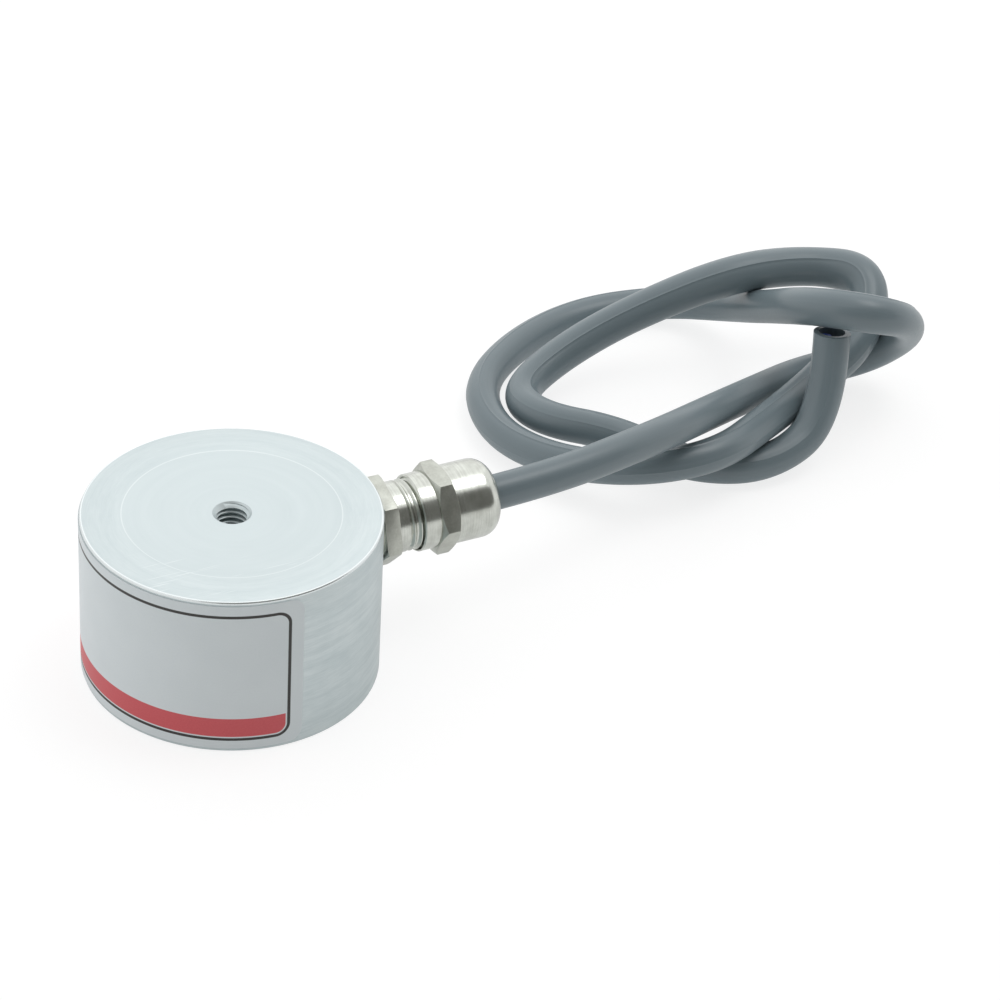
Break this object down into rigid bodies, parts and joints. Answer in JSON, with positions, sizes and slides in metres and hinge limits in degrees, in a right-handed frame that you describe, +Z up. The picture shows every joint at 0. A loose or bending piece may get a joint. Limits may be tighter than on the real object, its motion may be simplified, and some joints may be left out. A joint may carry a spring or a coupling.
{
  "type": "electromagnet",
  "caption": "Round holding electromagnet: potted steel pot with a threaded hole in its back, a side cable gland and a short loose cable with a bare cut end.",
  "frame": {"origin": "centre of the pole face that the magnet stands on", "axes": "+Z up through the threaded hole in the back face, +X out along the cable gland"},
  "size_m": [0.1756, 0.0989, 0.0316],
  "materials": {
    "zinc_plated_steel": "turned, bright zinc plate",
    "nylon": "moulded",
    "enamelled_copper": "enamelled copper wire",
    "bare_copper": "bare stranded copper",
    "polyester_tape": "film",
    "shrink_sleeve": "shrunk",
    "brown_insulation": "extruded",
    "blue_insulation": "extruded",
    "potting_resin": "cast",
    "nickel_plated_brass": "turned, nickel plate",
    "seal_rubber": "moulded",
    "grey_sheath": "extruded, satin",
    "label_film": "printed film"
  },
  "bodies": {
    "root": {"pot_housing": "zinc_plated_steel", "coil_bobbin": "nylon", "coil_winding": "enamelled_copper", "winding_tape": "polyester_tape", "winding_start_wire": "enamelled_copper", "winding_finish_wire": "enamelled_copper", "splice_sleeve_start": "shrink_sleeve", "splice_sleeve_finish": "shrink_sleeve", "lead_brown": "brown_insulation", "lead_blue": "blue_insulation", "conductor_brown": "bare_copper", "conductor_blue": "bare_copper", "potting_resin": "potting_resin", "gland_body": "nickel_plated_brass", "gland_clamp_insert": "nylon", "gland_seal": "seal_rubber", "gland_slip_washer": "nickel_plated_brass", "gland_dome_nut": "nickel_plated_brass", "cable_sheath": "grey_sheath", "label_sheet": "label_film"}
  },
  "joints": []
}
